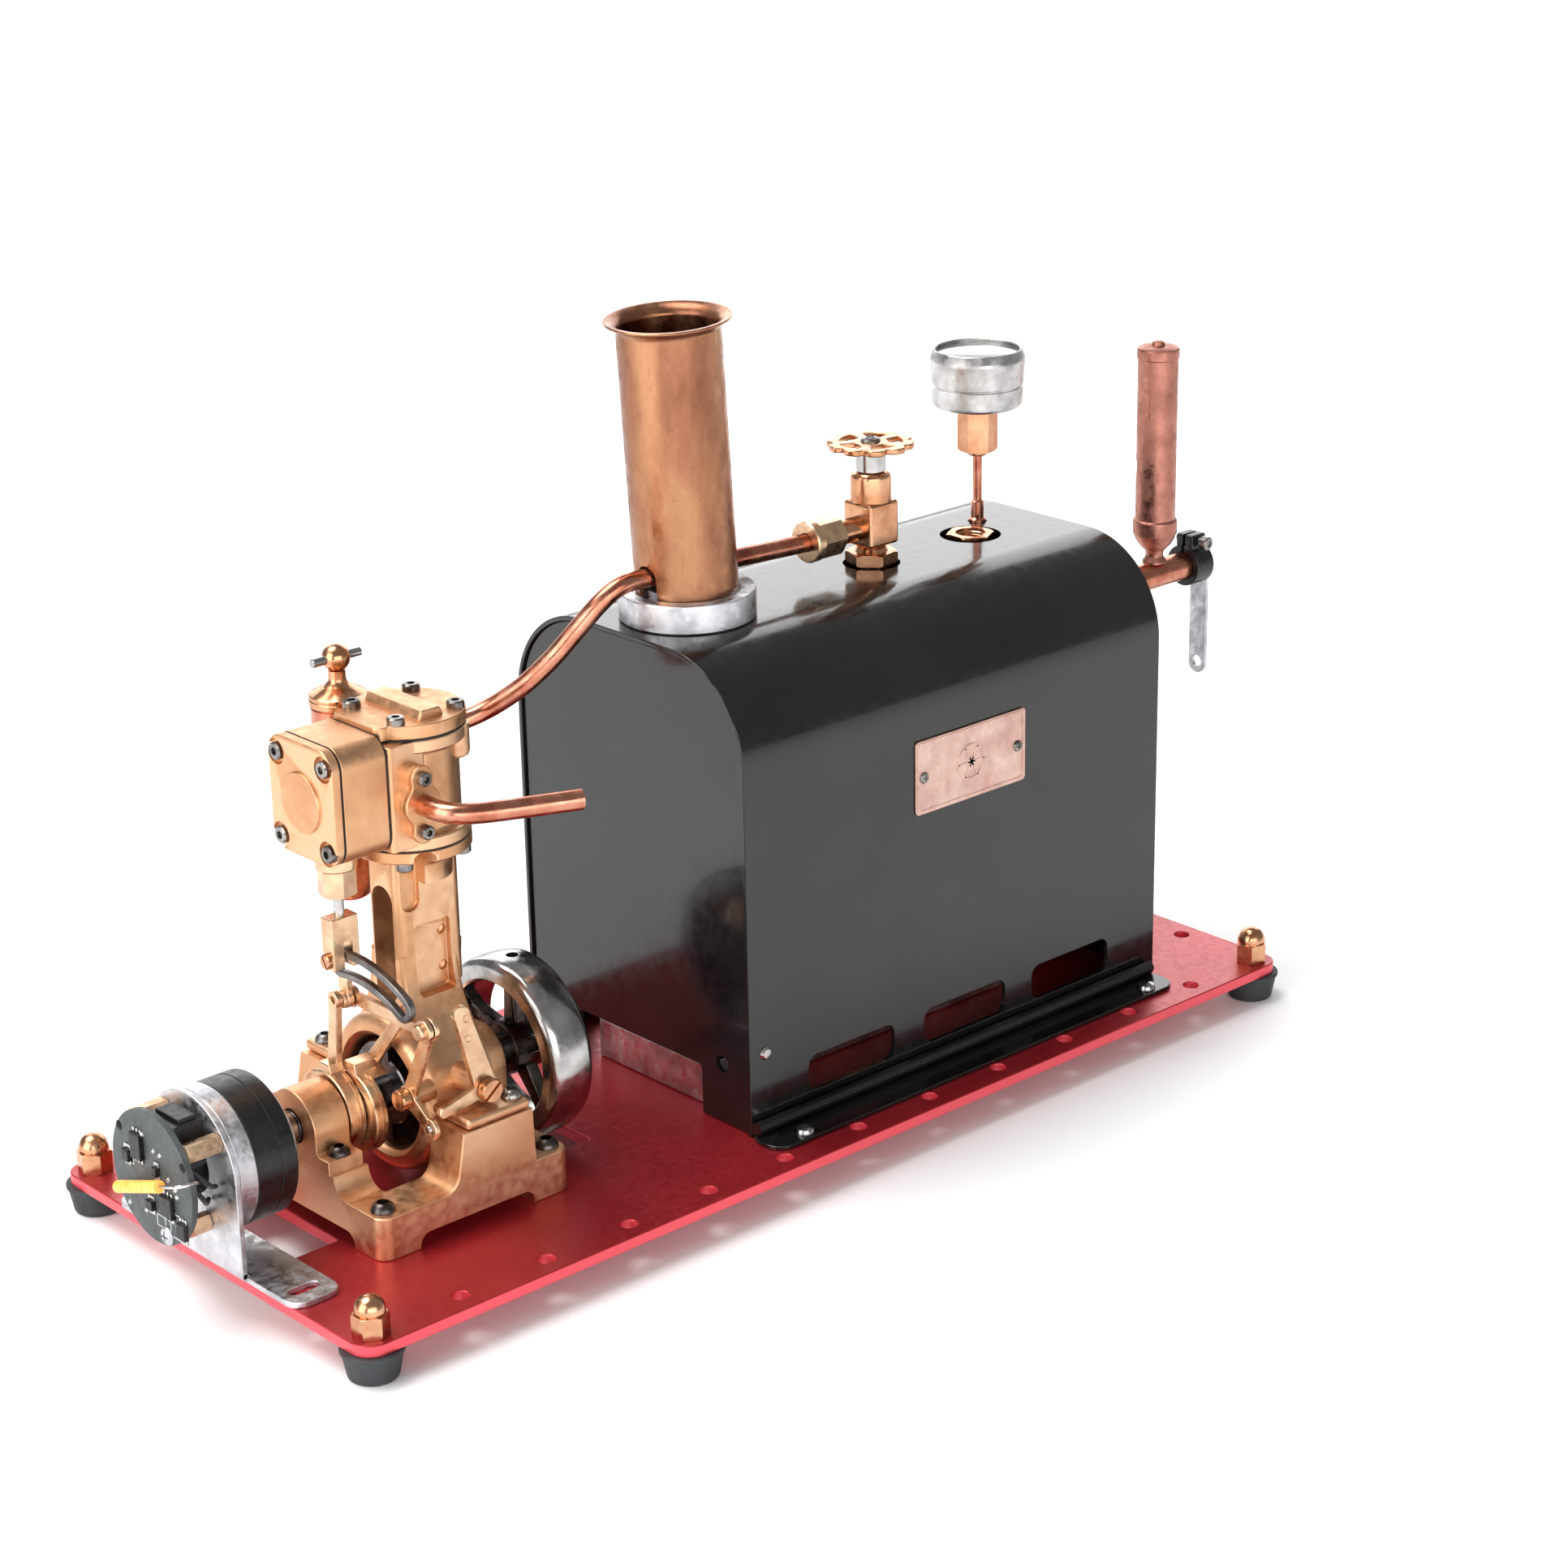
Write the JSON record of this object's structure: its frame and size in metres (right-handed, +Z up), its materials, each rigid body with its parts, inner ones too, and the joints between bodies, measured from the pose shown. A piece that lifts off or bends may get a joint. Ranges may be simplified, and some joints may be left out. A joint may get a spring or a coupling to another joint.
{
  "type": "model steam engine",
  "caption": "Model steam plant: boxed boiler with chimney, valve, gauge and whistle beside an upright reversing steam engine that drives a small generator.",
  "frame": {"origin": "on the floor, under the middle of the whole model's bounding box", "axes": "+X runs from the generator past the engine to the whistle, +Y to the back (away from the nameplate), +Z up"},
  "size_m": [0.3644, 0.129, 0.2091],
  "materials": {
    "red_plate": "satin",
    "black_casing": "gloss",
    "black_plastic": "satin",
    "board": "matte",
    "rubber_black": "matte",
    "polished_brass": "polished",
    "cast_bronze": "satin",
    "copper_tube": "polished",
    "aluminium": "satin",
    "bright_steel": "polished",
    "dark_steel": "satin",
    "clear_glass": "clear",
    "red_needle": "matte"
  },
  "bodies": {
    "base": {"base_plate": "red_plate", "boiler_casing": "black_casing", "casing_end_left": "black_casing", "casing_end_right": "black_casing", "generator_can": "black_plastic", "circuit_board": "board", "foot_front_left": "rubber_black", "foot_front_right": "rubber_black", "foot_back_left": "rubber_black", "foot_back_right": "rubber_black", "corner_nut_front_left": "polished_brass", "corner_nut_front_right": "polished_brass", "corner_nut_back_left": "polished_brass", "corner_nut_back_right": "polished_brass", "nameplate": "polished_brass", "filler_bush": "polished_brass", "steam_valve_body": "polished_brass", "steam_union_nut": "polished_brass", "gauge_nut": "polished_brass", "whistle_tube": "polished_brass", "exhaust_flange": "polished_brass", "engine_bed": "cast_bronze", "bearing_cap_left": "cast_bronze", "bearing_cap_right": "cast_bronze", "engine_column": "cast_bronze", "cylinder_block": "cast_bronze", "cylinder_cover": "cast_bronze", "steam_chest": "cast_bronze", "steam_chest_cover": "cast_bronze", "valve_gland_nut": "cast_bronze", "lubricator_body": "cast_bronze", "boiler_drum": "copper_tube", "chimney": "copper_tube", "steam_pipe": "copper_tube", "gauge_siphon_pipe": "copper_tube", "whistle_pipe": "copper_tube", "exhaust_pipe": "copper_tube", "chimney_collar": "aluminium", "generator_bracket": "aluminium", "generator_mount_ring": "aluminium", "gauge_case": "bright_steel", "gauge_glass": "clear_glass"},
    "crankshaft": {"crankshaft_left": "dark_steel", "crankshaft_right": "dark_steel", "flywheel": "bright_steel", "shaft_coupling": "dark_steel"},
    "strap_ahead": {"strap_rod_ahead": "cast_bronze"},
    "strap_astern": {"strap_rod_astern": "cast_bronze"},
    "piston": {"piston_and_crosshead": "bright_steel"},
    "con_rod": {"connecting_rod": "cast_bronze"},
    "valve": {"valve_rod": "cast_bronze"},
    "link": {"expansion_link": "bright_steel", "drag_link": "polished_brass"},
    "lever": {"reversing_lever": "polished_brass"},
    "crank_arm": {"bell_crank": "polished_brass"},
    "valve_wheel": {"steam_valve_handwheel": "polished_brass"},
    "oiler_cap": {"lubricator_cap": "cast_bronze"},
    "whistle_arm": {"whistle_lever": "aluminium"},
    "needle": {"gauge_needle": "red_needle"},
    "tray": {"burner_tray": "bright_steel"}
  },
  "joints": [
    {"name": "crank_spin", "type": "hinge", "parent": "base", "child": "crankshaft", "pos_m": [-0.09955, 0, 0.0348], "axis": [1, 0, 0], "continuous": true},
    {"name": "strap_ahead_turn", "type": "hinge", "parent": "crankshaft", "child": "strap_ahead", "pos_m": [-0.12605, 0.0019, 0.0342], "axis": [1, 0, 0], "continuous": true},
    {"name": "strap_astern_turn", "type": "hinge", "parent": "crankshaft", "child": "strap_astern", "pos_m": [-0.12155, -0.0019, 0.0342], "axis": [1, 0, 0], "continuous": true},
    {"name": "piston_slide", "type": "slide", "parent": "base", "child": "piston", "axis": [0, 0, 1], "range_m": [-0.0053, 0.0067]},
    {"name": "con_rod_swing", "type": "hinge", "parent": "piston", "child": "con_rod", "pos_m": [-0.09955, 0, 0.06112], "axis": [1, 0, 0], "range_deg": [0, 25.7]},
    {"name": "valve_slide", "type": "slide", "parent": "base", "child": "valve", "axis": [0, 0, 1], "range_m": [-0.0023, 0.0023]},
    {"name": "reversing_lever_turn", "type": "hinge", "parent": "base", "child": "lever", "pos_m": [-0.10215, -0.0275, 0.0421], "axis": [0, 1, 0], "range_deg": [0, 40]},
    {"name": "bell_crank_turn", "type": "hinge", "parent": "base", "child": "crank_arm", "pos_m": [-0.11735, -0.018, 0.0414], "axis": [1, 0, 0], "range_deg": [-46.5, 0]},
    {"name": "link_shift", "type": "slide", "parent": "base", "child": "link", "axis": [0, 1, 0], "range_m": [0, 0.0176]},
    {"name": "steam_valve_turn", "type": "hinge", "parent": "base", "child": "valve_wheel", "pos_m": [0.05165, 0, 0.1605], "axis": [0, 0, 1], "range_deg": [0, 540]},
    {"name": "lubricator_cap_turn", "type": "hinge", "parent": "base", "child": "oiler_cap", "pos_m": [-0.10285, 0.0215, 0.1305], "axis": [0, 0, 1], "range_deg": [0, 360]},
    {"name": "whistle_lever_turn", "type": "hinge", "parent": "base", "child": "whistle_arm", "pos_m": [0.17745, 0, 0.1051], "axis": [1, 0, 0], "range_deg": [0, 90]},
    {"name": "gauge_needle_turn", "type": "hinge", "parent": "base", "child": "needle", "pos_m": [0.09865, 0.0077, 0.1755], "axis": [0, 0, -1], "range_deg": [0, 270]},
    {"name": "burner_tray_slide", "type": "slide", "parent": "base", "child": "tray", "axis": [-1, 0, 0], "range_m": [0, 0.025]}
  ],
  "couplings": [
    {"joint": "strap_ahead_turn", "follows": "crank_spin", "ratio": -1},
    {"joint": "strap_astern_turn", "follows": "crank_spin", "ratio": -1},
    {"joint": "bell_crank_turn", "follows": "reversing_lever_turn", "ratio": -1.15},
    {"joint": "link_shift", "follows": "reversing_lever_turn", "m_per_rad": 0.02507}
  ]
}
